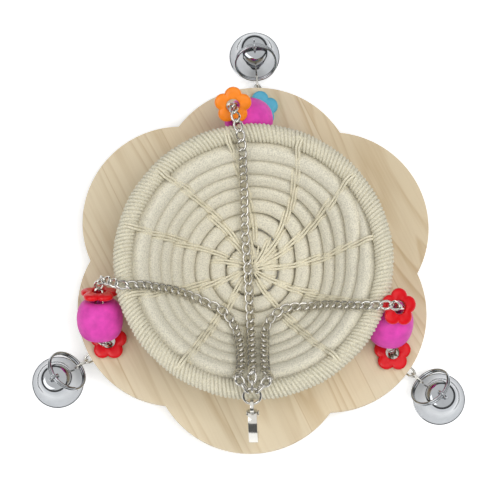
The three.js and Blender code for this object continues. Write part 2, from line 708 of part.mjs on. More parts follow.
function boxBetween(x0, y0, z0, x1, y1, z1) {
  const box = new THREE.BoxGeometry(x1 - x0, y1 - y0, z1 - z0);
  return box.translate((x0 + x1) / 2, (y0 + y1) / 2, (z0 + z1) / 2);
}

const eyeDisc = slab(ellipsePoints(0, CLASP_EYE_RADIUS, CLASP_EYE_RADIUS, 16), CLASP_EYE_THICKNESS);
const eyeHalf = CLASP_EYE_THICKNESS / 2;
const neck = boxBetween(CLASP_EYE_RADIUS - 1, -1.6, -eyeHalf, bodyStart + 3, 1.6, eyeHalf);
const claw = slab(ellipsePoints(bodyMiddle, bodyHalf, CLASP_HALF_WIDTH, 22), CLASP_THICKNESS);
const eyeHole = slab(ellipsePoints(0, CLASP_EYE_HOLE, CLASP_EYE_HOLE, 14), CLASP_THICKNESS * 2);
const opening = slab(
  [
    [openMiddle - openHalf, openLow],
    [openMiddle + openHalf - 1.5, openLow],
    [openMiddle + openHalf, openLow + 2],
    [openMiddle + openHalf, gateInner],
    [openMiddle + openHalf, CLASP_HALF_WIDTH + 2],
    [openMiddle - openHalf, CLASP_HALF_WIDTH + 2],
  ],
  CLASP_THICKNESS * 2,
);
const gateSlot = boxBetween(pinX - 2.4, pinY - 2.6, -slotHalf, openMiddle, CLASP_HALF_WIDTH + 2, slotHalf);
const pinHole = stem(CLASP_PIN_RADIUS + CLEAR, -CLASP_THICKNESS, CLASP_THICKNESS).translate(pinX, pinY, 0);
const claspSolid = cut(joined(eyeDisc, neck, claw), eyeHole, opening, gateSlot, pinHole);
addMesh("clasp_body", placeClasp(claspSolid), NICKEL);

const pinHead = stem(CLASP_PIN_RADIUS + 0.7, CLASP_THICKNESS / 2 + CLEAR, CLASP_THICKNESS / 2 + CLEAR + 0.6);
const pinTail = stem(CLASP_PIN_RADIUS + 0.7, -CLASP_THICKNESS / 2 - CLEAR - 0.6, -CLASP_THICKNESS / 2 - CLEAR);
const pinRod = stem(CLASP_PIN_RADIUS, -CLASP_THICKNESS / 2 - CLEAR - 0.3, CLASP_THICKNESS / 2 + CLEAR + 0.3);
addMesh("clasp_pin", placeClasp(joined(pinHead, pinTail, pinRod).translate(pinX, pinY, 0)), NICKEL);

const gateFace = -slotHalf + CLEAR;
const gateLug = new THREE.CylinderGeometry(1.9, 1.9, GATE_THICKNESS, 14).rotateX(Math.PI / 2);
const gateBar = boxBetween(pinX, pinY - 1.2, gateFace, gateEnd, pinY + 1.2, gateFace + GATE_THICKNESS);
const lugPlaced = gateLug.translate(pinX, pinY, gateFace + GATE_THICKNESS / 2);
const lugBore = stem(CLASP_PIN_RADIUS + CLEAR, -CLASP_THICKNESS, CLASP_THICKNESS).translate(pinX, pinY, 0);
addMesh("clasp_gate", placeClasp(cut(joined(lugPlaced, gateBar), lugBore)), NICKEL);

const springPoints = [];
const springRadius = CLASP_PIN_RADIUS + CLEAR + SPRING_WIRE / 2;
const springLow = gateFace + GATE_THICKNESS + CLEAR + SPRING_WIRE / 2;
const springHigh = slotHalf - CLEAR - SPRING_WIRE / 2;
for (let i = 0; i <= 12; i++) {
  const turn = (i / 12) * SPRING_TURNS * 2 * Math.PI;
  const height = springLow + ((springHigh - springLow) * i) / 12;
  springPoints.push(v3(pinX + springRadius * Math.cos(turn), pinY + springRadius * Math.sin(turn), height));
}
addMesh("clasp_spring", placeClasp(tube(springPoints, SPRING_WIRE / 2, 5, () => v3(0, 0, 1), false)), NICKEL);

export default group;
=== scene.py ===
from functools import partial
from math import cos, degrees, exp, hypot, pi, radians, sin, sqrt

import bpy
from mathutils import Matrix, Vector


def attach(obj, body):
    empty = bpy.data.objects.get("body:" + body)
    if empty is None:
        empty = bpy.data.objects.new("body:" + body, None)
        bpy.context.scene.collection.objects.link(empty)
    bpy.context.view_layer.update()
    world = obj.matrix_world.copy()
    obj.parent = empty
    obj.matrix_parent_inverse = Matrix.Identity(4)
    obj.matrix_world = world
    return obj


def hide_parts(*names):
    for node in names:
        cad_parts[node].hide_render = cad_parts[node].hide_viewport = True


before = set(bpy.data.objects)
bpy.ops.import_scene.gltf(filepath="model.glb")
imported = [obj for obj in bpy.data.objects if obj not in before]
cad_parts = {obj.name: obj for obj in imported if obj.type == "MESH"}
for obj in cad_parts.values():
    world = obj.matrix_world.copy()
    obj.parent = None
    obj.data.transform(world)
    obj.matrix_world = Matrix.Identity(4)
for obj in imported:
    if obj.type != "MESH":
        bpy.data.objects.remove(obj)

bl_info = {
    "name": "Hanging Bird Nest",
    "version": (1, 0, 0),
    "blender": (4, 5, 0),
    "location": "View3D > Sidebar > Nest",
    "description": "Builds the visible pieces of a rope bird nest on its packed CAD frame",
    "category": "Object",
}

# Places and angles shared with the CAD, in millimetres and degrees.
MM = 0.001
UP = Vector((0, 0, 1))
BOARD_TOP = 15
HOLE_RADIUS_PLACE = 87.5
FIRST_LOBE_DEG = 28.4
NEST_Y = -2
BASE_Z = 3.6
NEST_HOLE_RADIUS = 46.88
COIL_TURNS = 8
COIL_END_DEG = 34
COIL_STEP_DEG = 40
COIL_STEP_MORE_DEG = 10
COIL_CLIMB_DEG = (0, 0, 10, 22, 36, 51, 56, 52, 49)
ROPE_PITCH = 9.56
RIM_CORE_RADIUS = 68.32
RIM_CORE_Z = 47.78
VALLEY = 7.6
FLOWER_Z = 17.1
BEAD_Z = 32.1
TAIL_Z = 6
RING_TILT = radians(48)
RING_U = 27.2
RING_Z = 14.32
BELL_U = 34.69
TAIL_LINK_U = 18.6
EYE_Z = 22.95
LOWER_EYE_Z = 15.5
CLAPPER_EYE_Z = 13.2
BALL_Z = 5.5
BALL_RADIUS = 3
GATHER = Vector((0.3, -74, 55.5))
GATHER_SIDE = Vector((1, 0, 0))
GATHER_BACK = Vector((0, 0.8, 0.6))
GATHER_NORMAL = Vector((0, -0.6, 0.8))
END_LINK_AT = 6.2
BEAD_SEAT = 8.48

# Values of the visible pieces alone, in millimetres, degrees or shares.
RIM_DRIFT = 1.1
HUB_SHIFT = (-1.2, 2.4)
TAIL_END = 16.2
CHAIN_LIFT = 0.5
CHAIN_END_AT = 8.6
SPOKES_DEG = (
    (5, 12), (31, 41), (50, 69), (88, 102), (120, 136), (156, 166), (199, 198), (236, 237),
    (266, 269), (303, 309), (334, 339),
)
ROPE_PINCH = 0.07
ROPE_PINCH_REACH = 2.4
ROPE_SLIT = 0.11
ROPE_SWELL = 0.13
TAIL_LINK = (9, 6, 1.2)
END_LINK = (8, 5.6, 1.2)
TOP_EYE = (2.6, 1.3)
SMALL_EYE = (1.9, 1.2)
PETAL_DOME = 3
SPLIT_TURNS = 1.95
GATHER_TURNS = 0.99
HUB_STRANDS = 17
CROWN_BORE = 1.3
BELL_SHAPE = (
    (0.962, 0.045), (0.885, 0.14), (0.775, 0.32), (0.705, 0.5), (0.648, 0.7), (0.592, 0.85),
    (0.51, 0.945), (0.42, 0.985), (0.34, 1),
)

# The stage: the camera in millimetres and degrees, and its light.
CAMERA_PLACE = Vector((6.6215, -175.4828, 1008.7213))
CAMERA_TURN_DEG = (10.5426, 0.366, 0.7314)
CAMERA_LENS = 134.81
# Name, place and size in metres, power in watts, and whether bright surfaces show it.
LIGHTS = (
    ("key", (0.42, -0.1, 1.15), 0.9, 9.0, False),
    ("fill", (-0.75, -0.45, 0.95), 1.0, 5.2, True),
)
FLOOR_GLOW = 0.3
ROOM_LIGHT = (0.36, 0.37, 0.38)
WALL_GREY = (0.14, 0.14, 0.14)

# The three corners: lobe, turn of the tail from the lobe's heading, and what the chain carries.
CORNERS = (
    {
        "name": "left",
        "lobe": 3,
        "tail_turn": 7.4,
        "link_turn": 125,
        "paints": ("red", "red"),
        "bead": ((-80.6, -31.8), 91, 30),
        "flower": ((-80.8, -19.2, 38.7), 91, 30),
        "rise": ((-77.1, -42.2, 19.2), (-78.4, -44.2, 22.6), (-80.2, -42.4, 25.4)),
        "route": (
            (-80.9, -14.6, 42.2), (-79.2, -13.2, 46.6), (-75, -14.4, 51.4), (-69.8, -17, 55.6),
            (-64.5, -17.7, 56.2), (-59.5, -16.9, 53), (-55.2, -16.2, 48.2), (-50.7, -16.4, 43.4),
            (-44.3, -16, 35.2), (-37.6, -16.4, 26.3), (-30.6, -17.9, 19.5), (-23.7, -20.5, 16),
            (-16.4, -23.4, 14.4), (-12, -28.6, 15.8), (-9, -33.9, 18.6), (-7, -41.7, 26.6),
            (-6, -50.8, 39), (-5.8, -57, 46.4), (-6.2, -61.5, 52),
        ),
    },
    {
        "name": "right",
        "lobe": 5,
        "tail_turn": -9.2,
        "link_turn": 50,
        "paints": ("red", "red"),
        "bead": ((72.3, -32.6), 80, 45),
        "flower": ((75.5, -26.5, 50.6), -18, 65),
        "rise": ((74.3, -45.2, 19.2), (73.2, -42.6, 21.8)),
        "route": (
            (74.7, -24, 41.4), (75, -24.6, 45.6), (75.6, -26.5, 50.6), (76.2, -26.8, 54.6),
            (74.6, -26.8, 58), (70, -26.7, 59.2), (65.5, -26.7, 58.2), (61.5, -26.6, 56.2),
            (56.5, -26.3, 53), (50.5, -25.5, 46.8), (44.6, -24.2, 39.8), (39.1, -22.8, 32.3),
            (28.8, -22.1, 19.9), (18.7, -21.6, 14.4), (13.4, -24, 14), (8.6, -29, 15.2),
            (6.7, -34.6, 18.6), (6.4, -42.2, 27), (6.5, -51.9, 40.4), (6.9, -57.6, 47),
            (7.4, -62.4, 52.2),
        ),
    },
    {
        "name": "back",
        "lobe": 1,
        "tail_turn": 7.4,
        "link_turn": 90,
        "paints": ("blue", "orange"),
        "bead": ((-3.5, 77.2), 190, 40),
        "flower": ((-11.8, 80.6, 50), 275, 60),
        "rise": ((2.5, 87, 19), (4.4, 83.8, 21.6), (5.6, 80.6, 23.6)),
        "route": (
            (-13.4, 77.6, 40.6), (-12.6, 81.6, 44.6), (-11.8, 80.6, 50), (-11.4, 78, 54),
            (-10.2, 73.4, 56), (-9.2, 69, 56.6), (-7.6, 63.4, 56), (-6.7, 58.6, 53),
            (-6.3, 50, 43), (-5.7, 39.5, 28.8), (-5, 20.8, 13.2), (-3.1, -0.9, 11.2),
            (-1.8, -22, 12.6), (-1, -34.6, 18.4), (-0.4, -44, 30), (0, -53.8, 42.6),
            (0.2, -59, 48.8),
        ),
    },
)


def srgb(text):
    """The linear colour of an sRGB hex text."""
    shares = [int(text[i : i + 2], 16) / 255 for i in (0, 2, 4)]
    return tuple(s / 12.92 if s <= 0.04045 else ((s + 0.055) / 1.055) ** 2.4 for s in shares)


def length(name, millimetres, text):
    """A length property, in metres."""
    return bpy.props.FloatProperty(
        name=name, description=text, default=millimetres * MM, min=0, unit="LENGTH", precision=5
    )


def colour(name, text, description):
    """A colour property from an sRGB hex text."""
    return bpy.props.FloatVectorProperty(
        name=name, description=description, default=srgb(text), min=0, max=1, size=3, subtype="COLOR"
    )


class NestSizes(bpy.types.PropertyGroup):
    """Sizes of the visible pieces."""

    board_tip: length("Board tip radius", 100, "From the board's centre to the tip of a lobe")
    board_lobe: length("Lobe radius", 52.9, "Radius of one lobe of the board")
    board_thickness: length("Board thickness", 6, "Thickness of the board")
    board_edge: length("Board edge", 0.8, "Rounding of the board's edges")
    chain_hole: length("Chain hole radius", 3.75, "Radius of the holes that the chains pass")
    rope: length("Rope diameter", 9.75, "Diameter of the coiled rope")
    rim: length("Rim diameter", 10.6, "Diameter of the whipped rim")
    rim_string: length("Whipping string", 1.9, "Diameter of the string round the rim")
    rim_wraps: bpy.props.IntProperty(
        name="Whipping wraps", description="Wraps of string round the rim", default=204, min=1
    )
    stitch: length("Stitch string", 1.45, "Diameter of the stitching string")
    link_pitch: length("Link pitch", 5.4, "Length of chain that one link takes")
    link_width: length("Link width", 5.6, "Width of a chain link over its wire")
    link_wire: length("Link wire", 1.4, "Wire of a chain link")
    flower: length("Flower radius", 10, "From a flower's centre to the tip of a petal")
    petal: length("Petal radius", 4.6, "Radius of a petal")
    flower_thickness: length("Flower thickness", 3.6, "Thickness of a flower")
    flower_bore: length("Flower bore", 3.6, "Radius of the hole through a flower")
    bead: length("Bead radius", 12.2, "Largest radius of a bead")
    bead_half: length("Bead half length", 10.6, "Half a bead's length along its bore")
    bead_bore: length("Bead bore", 4.7, "Radius of the hole through a bead")
    ring: length("Split ring radius", 11.2, "Radius to the middle of the ring's wire")
    ring_wire: length("Split ring wire", 1.36, "Wire of the split ring")
    bell_mouth: length("Bell radius", 14, "Radius of a bell's mouth")
    bell_height: length("Bell height", 19.3, "Height of a bell")
    bell_wall: length("Bell wall", 1, "Thickness of a bell's wall")
    gather: length("Gather ring radius", 4.5, "Radius to the middle of the gather ring's wire")
    gather_wire: length("Gather ring wire", 1.4, "Wire of the gather ring")


class NestColours(bpy.types.PropertyGroup):
    """Colours of the visible pieces."""

    pine: colour("Pine", "dccdb0", "Pale wood between the grain lines")
    pine_dark: colour("Pine grain", "bca27a", "Grain lines of the wood")
    rope: colour("Rope", "e9e3cf", "Cotton rope of the bowl")
    whipping: colour("Whipping", "eae3cb", "String round the rim")
    stitch: colour("Stitching", "efe7cd", "String of the stitches")
    red: colour("Red", "e0101c", "Red flowers")
    blue: colour("Blue", "5fbad6", "Blue flower")
    orange: colour("Orange", "ff8c1e", "Orange flower")
    magenta: colour("Magenta", "e84cb8", "Beads")
    nickel: colour("Nickel", "e0ddd6", "Chains, links and clasp")
    chrome: colour("Chrome", "b2b5b8", "Bells and split rings")
    floor: colour("Floor", "ffffff", "Plain studio floor")


# Mesh helpers
def only(piece):
    """Makes a piece the one selected and active object."""
    bpy.ops.object.select_all(action="DESELECT")
    piece.select_set(True)
    bpy.context.view_layer.objects.active = piece


def apply_modifier(piece, kind, **settings):
    """Adds a modifier with its settings and applies it."""
    modifier = piece.modifiers.new(kind.title(), kind)
    for key, value in settings.items():
        setattr(modifier, key, value)
    only(piece)
    bpy.ops.object.modifier_apply(modifier=modifier.name)


def smooth(piece, angle):
    """Shades a piece smooth but for edges sharper than an angle in degrees."""
    only(piece)
    bpy.ops.object.shade_smooth_by_angle(angle=radians(angle))


def linked(name, data):
    """A new object of the scene."""
    piece = bpy.data.objects.new(name, data)
    bpy.context.scene.collection.objects.link(piece)
    return piece


def mesh_piece(name, corners, faces):
    """A new object from corners in millimetres."""
    mesh = bpy.data.meshes.new(name)
    mesh.from_pydata([Vector(c) * MM for c in corners], [], faces)
    return linked(name, mesh)


def primitive(kind, **settings):
    """A new primitive with its place applied to its mesh."""
    getattr(bpy.ops.mesh, f"primitive_{kind}_add")(**settings)
    piece = bpy.context.object
    only(piece)
    bpy.ops.object.transform_apply(location=True, rotation=True, scale=True)
    return piece


def torus(radius, wire, place, segments=(28, 10), rotation=(0, 0, 0)):
    """A round ring of wire at a place, all in millimetres."""
    sizes = {"major_radius": radius * MM, "minor_radius": wire * MM / 2}
    steps = {"major_segments": segments[0], "minor_segments": segments[1]}
    location = [c * MM for c in place]
    return primitive("torus", location=location, rotation=rotation, **sizes, **steps)


def clean(piece, action, **settings):
    """Merges a piece's doubled corners and runs one more action on its mesh."""
    only(piece)
    bpy.ops.object.mode_set(mode="EDIT")
    bpy.ops.mesh.select_all(action="SELECT")
    bpy.ops.mesh.remove_doubles(threshold=1e-6)
    getattr(bpy.ops.mesh, action)(**settings)
    bpy.ops.object.mode_set(mode="OBJECT")


def joined(name, pieces, angle):
    """Joins pieces into the first one and shades it smooth."""
    only(pieces[0])
    for piece in pieces:
        piece.select_set(True)
    bpy.ops.object.join()
    pieces[0].name = name
    smooth(pieces[0], angle)
    return pieces[0]


def copy_to(name, model, matrix):
    """A copy of a model with its own mesh, carried to a place."""
    mesh = model.data.copy()
    mesh.transform(matrix)
    return linked(name, mesh)


def discard(piece):
    """Removes a helper object."""
    bpy.data.objects.remove(piece, do_unlink=True)


def paint(piece, finish):
    """Gives a piece a finish."""
    piece.data.materials.clear()
    piece.data.materials.append(finish_of(finish))


def finish_piece(piece, finish, body, *nodes):
    """Gives a piece its finish, the body it moves with and the CAD nodes it stands for."""
    paint(piece, finish)
    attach(piece, body)
    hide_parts(*nodes)


def place_copy(name, model, matrix, finish, body, node):
    """A finished copy of a model, carried to a place."""
    finish_piece(copy_to(name, model, matrix), finish, body, node)


def basis(x, y, z, place):
    """The matrix that carries +X, +Y and +Z to three directions at a place in millimetres."""
    matrix = Matrix((x, y, z)).transposed().to_4x4()
    matrix.translation = Vector(place) * MM
    return matrix


def turned(axis, place):
    """The matrix that turns +Z to an axis at a place in millimetres."""
    turn = UP.rotation_difference(axis).to_matrix().to_4x4()
    return Matrix.Translation(Vector(place) * MM) @ turn


def on_ring(radius, turn, height=0):
    """A point of a level ring about Z."""
    return Vector((radius * cos(turn), radius * sin(turn), height))


def aim(heading, rise):
    """A direction from its heading in plan and its rise, in degrees."""
    climb = radians(rise)
    return on_ring(cos(climb), radians(heading), sin(climb))


def round_section(turn):
    """A point of a round section."""
    return cos(turn), sin(turn)


def tube_mesh(points, radii, sides, ways=None, closed=False, section=round_section):
    """Corners, faces and UV corners of a tube; its UV is in metres, and ways turn its section."""
    last = len(points) - 1
    corners = []
    alongs = [0.0]
    across = None
    for i, point in enumerate(points):
        before = points[i - 1] if closed or i else point
        after = points[(i + 1) % len(points)] if closed or i < last else point
        along = (after - before).normalized()
        if ways:
            across = ways[i]
        elif across is None:
            across = UP if abs(along.z) < 0.9 else Vector((1, 0, 0))
        across = (across - along * across.dot(along)).normalized()
        up = along.cross(across)
        for k in range(sides):
            far, wide = section(2 * pi * k / sides)
            corners.append(point + radii[i] * (across * far + up * wide))
        if i:
            alongs.append(alongs[-1] + (point - points[i - 1]).length)
    if closed:
        alongs.append(alongs[-1] + (points[0] - points[-1]).length)
    faces = []
    uvs = []
    round_it = 2 * pi * max(radii) * MM
    for i in range(len(points) if closed else last):
        a = i * sides
        b = ((i + 1) % len(points)) * sides
        for k in range(sides):
            n = (k + 1) % sides
            faces.append((a + k, a + n, b + n, b + k))
            low, high = alongs[i] * MM, alongs[i + 1] * MM
            left, right = round_it * k / sides, round_it * (k + 1) / sides
            uvs += [(low, left), (low, right), (high, right), (high, left)]
    if not closed:
        faces.append(tuple(range(sides - 1, -1, -1)))
        faces.append(tuple(last * sides + k for k in range(sides)))
        uvs += [(0, 0)] * sides + [(alongs[-1] * MM, 0)] * sides
    return corners, faces, uvs


def tubes(name, runs, angle=80):
    """One object from several tube meshes, shaded smooth."""
    corners, faces, uvs = [], [], []
    for run_corners, run_faces, run_uvs in runs:
        shift = len(corners)
        corners += run_corners
        faces += [tuple(shift + k for k in face) for face in run_faces]
        uvs += run_uvs
    piece = mesh_piece(name, corners, faces)
    layer = piece.data.uv_layers.new(name="UVMap")
    layer.data.foreach_set("uv", [number for uv in uvs for number in uv])
    smooth(piece, angle)
    return piece


def even_course(points, pieces_wanted):
    """Points an even distance apart on a smooth line through the given ones, and its length."""
    ends = [points[0] * 2 - points[1], *points, points[-1] * 2 - points[-2]]
    dense = []
    for a, b, c, d in zip(ends, ends[1:], ends[2:], ends[3:]):
        one, two, three = [max((q - p).length, 1e-6) ** 0.5 for p, q in ((a, b), (b, c), (c, d))]
        enter = ((b - a) / one - (c - a) / (one + two) + (c - b) / two) * two
        leave = ((c - b) / two - (d - b) / (two + three) + (d - c) / three) * two
        for i in range(24):
            t = i / 24
            start = b * (2 * t**3 - 3 * t**2 + 1) + enter * (t**3 - 2 * t**2 + t)
            dense.append(start + c * (3 * t**2 - 2 * t**3) + leave * (t**3 - t**2))
    dense.append(points[-1])
    reach = [0.0]
    for p, q in zip(dense, dense[1:]):
        reach.append(reach[-1] + (q - p).length)
    wanted = pieces_wanted(reach[-1])
    course = []
    k = 0
    for i in range(wanted + 1):
        target = reach[-1] * i / wanted
        while k < len(dense) - 2 and reach[k + 1] < target:
            k += 1
        share = (target - reach[k]) / max(reach[k + 1] - reach[k], 1e-9)
        course.append(dense[k].lerp(dense[k + 1], min(share, 1)))
    return course, reach[-1]


# The corners' own directions
def corner_frame(corner):
    """A corner's hole, its outward direction and the direction across."""
    heading = FIRST_LOBE_DEG + 60 * corner["lobe"]
    out = aim(heading + corner["tail_turn"], 0)
    return aim(heading, 0) * HOLE_RADIUS_PLACE, out, Vector((-out.y, out.x, 0))


def chain_points(corner):
    """The points that a corner's chain runs through, from its tail to the gather ring."""
    hole, out, _ = corner_frame(corner)
    bead_axis = aim(corner["bead"][1], corner["bead"][2])
    bead_place = Vector((*corner["bead"][0], BEAD_Z))
    way = link_way(corner)
    tail = ((TAIL_END, TAIL_Z), (9, TAIL_Z), (5.2, TAIL_Z), (2.2, 7.1), (0.4, 10), (0, BOARD_TOP))
    points = [hole + out * u + UP * z for u, z in tail]
    points += [Vector(p) for p in corner["rise"]]
    points += [bead_place - bead_axis * BEAD_SEAT, bead_place + bead_axis * BEAD_SEAT]
    points += [Vector(p) + UP * CHAIN_LIFT for p in corner["route"]]
    points += [GATHER + way * (CHAIN_END_AT + 5), GATHER + way * CHAIN_END_AT]
    return points


def link_way(corner):
    """The direction from the gather ring's centre to a corner's end link."""
    turn = radians(corner["link_turn"])
    return GATHER_SIDE * cos(turn) + GATHER_BACK * sin(turn)


# The bowl's section
def bowl_profile(turn):
    """Radius and height of the rope's centre line after some turns."""
    if turn <= 0.5:
        return max(turn, 0) * ROPE_PITCH, 0.0
    r, z = ROPE_PITCH / 2, 0.0
    for k in range(1, 10):
        part = min(turn - (k - 0.5), 1)
        if part <= 0:
            break
        climb = radians(COIL_CLIMB_DEG[min(k, 8)])
        r += part * ROPE_PITCH * cos(climb)
        z += part * ROPE_PITCH * sin(climb)
    return r, z


def ring_step(heading, ring):
    """How far the rope has stepped from a ring to the next at a heading in degrees, from 0 to 1."""
    stretch = COIL_STEP_DEG + COIL_STEP_MORE_DEG * (COIL_TURNS - 1 - ring)
    step = min((heading % 360) / stretch, 1)
    return step * step * (3 - 2 * step)


def spoke_heading(spoke, turn):
    """Heading of a row of stitches after some turns, in degrees."""
    return spoke[0] + (spoke[1] - spoke[0]) * min(turn / COIL_TURNS, 1)


def pinch(turn, heading):
    """How much of the rope's thickness is left at a place, as the stitches pull it in."""
    away = min(abs((heading - spoke_heading(spoke, turn) + 180) % 360 - 180) for spoke in SPOKES_DEG)
    reach = radians(away) * bowl_profile(turn)[0]
    return 1 - ROPE_PINCH * exp(-((reach / ROPE_PINCH_REACH) ** 2))


def bowl_point(turn, heading, lift):
    """A point above the rope's centre line, towards the inside of the bowl."""
    r, z = bowl_profile(turn)
    r0, z0 = bowl_profile(turn - 0.5)
    r1, z1 = bowl_profile(turn + 0.5)
    size = hypot(r1 - r0, z1 - z0) or 1
    r -= lift * (z1 - z0) / size
    z += lift * (r1 - r0) / size
    angle = radians(heading)
    share = 1 - min(max(turn, 0) / COIL_TURNS, 1)
    x = r * cos(angle) + HUB_SHIFT[0] * share
    y = r * sin(angle) + HUB_SHIFT[1] * share + NEST_Y
    return Vector((x, y, BASE_Z + z))


# Materials
def per(*millimetres):
    """Pattern scales from real sizes in millimetres."""
    return tuple(1 / (size * MM) for size in millimetres)


def darker(value, share):
    """A colour times a share."""
    return tuple(v * share for v in value)


def feed(node, inputs):
    """Sets or links a node's inputs; a node given as a value stands for its first output in use."""
    for key, value in dict(inputs).items():
        socket = node.inputs[key]
        if isinstance(value, bpy.types.Node):
            value = next(output for output in value.outputs if output.enabled)
        if isinstance(value, bpy.types.NodeSocket):
            node.id_data.links.new(value, socket)
        elif socket.type == "RGBA":
            socket.default_value = (*value, 1)
        else:
            socket.default_value = value


def add_node(tree, kind, inputs=(), stops=(), **settings):
    """Adds a shader node with its settings, its inputs and, on a ramp, its (place, colour) stops."""
    node = tree.nodes.new("ShaderNode" + kind)
    for key, value in settings.items():
        setattr(node, key, value)
    feed(node, inputs)
    if stops:
        elements = node.color_ramp.elements
        while len(elements) < len(stops):
            elements.new(0.5)
        for element, (place, value) in zip(elements, stops):
            element.position = place
            element.color = (*value, 1)
    return node


def shader(name, inputs):
    """A new material with its surface shader's inputs set; returns both."""
    material = bpy.data.materials.new(name)
    material.use_nodes = True
    surface = material.node_tree.nodes["Principled BSDF"]
    feed(surface, inputs)
    return material, surface


def pine_material(name, pale):
    """Glued pine: pale strips with thin year lines down them, short fibres and faint glue lines."""
    dark = tuple(bpy.context.scene.nest_colours.pine_dark)
    material, surface = shader(name, {"Roughness": 0.62})
    add = partial(add_node, material.node_tree)
    place = add("TexCoord").outputs["Object"]
    along = add("Mapping", {"Vector": place, "Rotation": (0, 0, radians(63))})
    across = add("SeparateXYZ", {0: along}).outputs[1]
    # Strips 38 mm wide; each has its own tone and is cut from its own place in the grain.
    strips = add("Math", {0: across, 1: per(38)[0], 2: 0.3}, operation="MULTIPLY_ADD")
    strip = add("Math", {0: strips}, operation="FLOOR")
    tone = add("TexWhiteNoise", {"W": strip}, noise_dimensions="1D")
    moved = add("VectorMath", {0: tone, 1: (3, 0, 1), 2: along}, operation="MULTIPLY_ADD")
    # Sweep of the year lines, their strength, and fibres coarser than real ones, so that they show.
    patterns = []
    for size, detail in (((200, 24, 200), 1), ((110, 17, 110), 1), ((33, 1.1, 33), 3)):
        drawn = add("Mapping", {"Vector": moved, "Scale": per(*size)})
        patterns.append(add("TexNoise", {"Vector": drawn, "Scale": 1, "Detail": detail}))
    sweep, strength, fibres = patterns
    # Year lines 9.5 mm apart.
    years = add("Math", {0: across, 1: per(9.5)[0]}, operation="MULTIPLY")
    swept = add("Math", {0: sweep, 1: 7.5, 2: years}, operation="MULTIPLY_ADD")
    year = add("Math", {0: swept}, operation="FRACT")
    stops = ((0, (0, 0, 0)), (0.5, (0.1, 0.1, 0.1)), (0.88, (1, 1, 1)), (1, (0, 0, 0)))
    line = add("ValToRGB", {0: year}, stops)
    lines = add("Math", {0: line, 1: strength}, operation="MULTIPLY")
    marks = add("Math", {0: lines, 1: 0.85, 2: -0.25}, operation="MULTIPLY_ADD")
    amount = add("Math", {0: fibres, 1: 0.5, 2: marks}, operation="MULTIPLY_ADD")
    wood = add("Mix", {0: amount, 6: pale, 7: dark}, data_type="RGBA")
    warmth = add("Math", {0: tone, 1: 0.3}, operation="MULTIPLY")
    inputs = {0: warmth, 6: wood, 7: (1, 0.9, 0.76)}
    warm = add("Mix", inputs, data_type="RGBA", blend_type="MULTIPLY")
    # Glue lines 0.6 mm wide.
    seam = add("Math", {0: strips, 1: 0.5}, operation="PINGPONG")
    glue = add("Math", {0: seam, 1: 0.3 / 38}, operation="LESS_THAN")
    faint = add("Math", {0: glue, 1: 0.45}, operation="MULTIPLY")
    final = add("Mix", {0: faint, 6: warm, 7: dark}, data_type="RGBA")
    relief = add("Bump", {"Height": fibres, "Distance": 0.2 * MM, "Strength": 0.35})
    feed(surface, {"Base Color": final, "Normal": relief})
    return material


def cotton_material(name, value, lay, ply, fuzz):
    """Cotton: a nap of fibres, a soft twist of the strands and matt edges; sizes in millimetres."""
    inputs = {"Roughness": 0.95, "Sheen Weight": 0.1, "Sheen Roughness": 0.6}
    material, surface = shader(name, inputs)
    add = partial(add_node, material.node_tree)
    coords = add("TexCoord")
    place = coords.outputs["Object"]
    turns = (*(2 * pi * scale for scale in per(lay, ply)), 0)
    twist = add("VectorMath", {0: coords.outputs["UV"], 1: turns}, operation="DOT_PRODUCT")
    wave = add("Math", {0: twist}, operation="SINE")
    # Tufts of 0.67 mm: a real fibre is far finer and would not show.
    hairs = add("TexNoise", {"Vector": place, "Scale": per(0.67)[0], "Detail": 4})
    blotch = add("TexNoise", {"Vector": place, "Scale": per(11)[0], "Detail": 2})
    raised = add("Math", {0: hairs, 1: 1.6}, operation="MULTIPLY")
    height = add("Math", {0: wave, 1: 0.35, 2: raised}, operation="MULTIPLY_ADD")
    shade = add("ValToRGB", {0: hairs}, ((0.32, darker(value, 0.66)), (0.6, value)))
    cloud = add("Math", {0: blotch, 1: 0.3}, operation="MULTIPLY")
    final = add("Mix", {0: cloud, 6: shade, 7: darker(value, 0.78)}, data_type="RGBA")
    relief = add("Bump", {"Height": height, "Distance": fuzz * MM, "Strength": 0.6})
    feed(surface, {"Base Color": final, "Normal": relief})
    return material


def metal_material(name, value, roughness):
    """Plated metal: bright, with faint handling marks that break up its reflections."""
    material, surface = shader(name, {"Metallic": 1})
    add = partial(add_node, material.node_tree)
    place = add("TexCoord").outputs["Object"]
    marks = add("TexNoise", {"Vector": place, "Scale": per(3.8)[0], "Detail": 3})
    inputs = {0: marks, 1: roughness, 2: roughness * 0.5}
    rough = add("Math", inputs, operation="MULTIPLY_ADD")
    tone = add("ValToRGB", {0: marks}, ((0.25, darker(value, 0.9)), (0.7, value)))
    feed(surface, {"Base Color": tone, "Roughness": rough})
    return material


def gloss_material(name, value, roughness, coat, depth):
    """Coloured gloss: an even colour with slight clouding under a clear, slightly uneven skin."""
    material, surface = shader(name, {"Roughness": roughness, "Specular IOR Level": 0.25})
    feed(surface, {"Coat Weight": coat, "Coat Roughness": 0.12})
    add = partial(add_node, material.node_tree)
    place = add("TexCoord").outputs["Object"]
    cloud = add("TexNoise", {"Vector": place, "Scale": per(4.5)[0], "Detail": 3})
    tone = add("ValToRGB", {0: cloud}, ((0.3, darker(value, depth)), (0.68, value)))
    skin = add("TexNoise", {"Vector": place, "Scale": per(2.4)[0], "Detail": 2})
    inputs = {"Height": skin, "Distance": 0.2 * MM, "Strength": 0.3 * coat + 0.06}
    relief = add("Bump", inputs)
    feed(surface, {"Base Color": tone, "Normal": relief})
    return material


